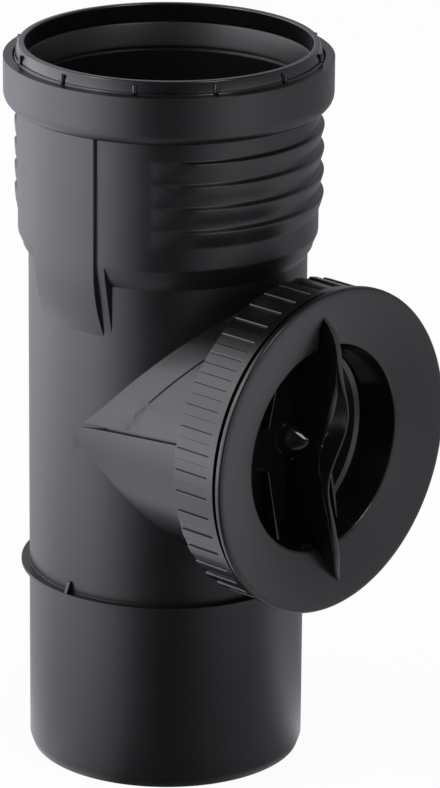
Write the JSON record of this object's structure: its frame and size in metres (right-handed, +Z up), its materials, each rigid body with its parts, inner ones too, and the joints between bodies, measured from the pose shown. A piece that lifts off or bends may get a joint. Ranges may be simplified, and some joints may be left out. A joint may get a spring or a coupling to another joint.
{
  "type": "inspection chamber (drain access pipe with a screw cover)",
  "caption": "Black moulded drain access pipe: spigot below, ribbed ring-seal socket above, and a side branch closed by a screw cover with an S-shaped turning grip.",
  "frame": {"origin": "on the pipe's axis, in the plane of the spigot's lower end, where the drain bore opens and on which the part stands", "axes": "+Z up along the pipe's axis towards the socket, +X along the branch towards the screw cover, -Y towards the side with the label panel"},
  "size_m": [0.1277, 0.1066, 0.2392],
  "materials": {
    "body_plastic": "black polypropylene as moulded, satin",
    "seal_rubber": "black moulded rubber, matt",
    "ring_plastic": "black polypropylene as moulded, satin",
    "cover_plastic": "black polypropylene as moulded, satin",
    "gasket_rubber": "black flat rubber, matt"
  },
  "bodies": {
    "body": {"pipe_body": "body_plastic", "socket_seal": "seal_rubber", "seal_ring": "ring_plastic"},
    "gasket": {"cover_seal": "gasket_rubber"},
    "cover": {"access_cover": "cover_plastic"}
  },
  "joints": [
    {"name": "cover_lift", "type": "slide", "parent": "body", "child": "gasket", "axis": [1, 0, 0], "range_m": [0, 0.01201]},
    {"name": "cover_turn", "type": "hinge", "parent": "gasket", "child": "cover", "pos_m": [0, 0, 0.11885], "axis": [1, 0, 0], "range_deg": [0, 720]}
  ],
  "couplings": [
    {"joint": "cover_lift", "follows": "cover_turn", "m_per_rad": 0.00095493}
  ]
}
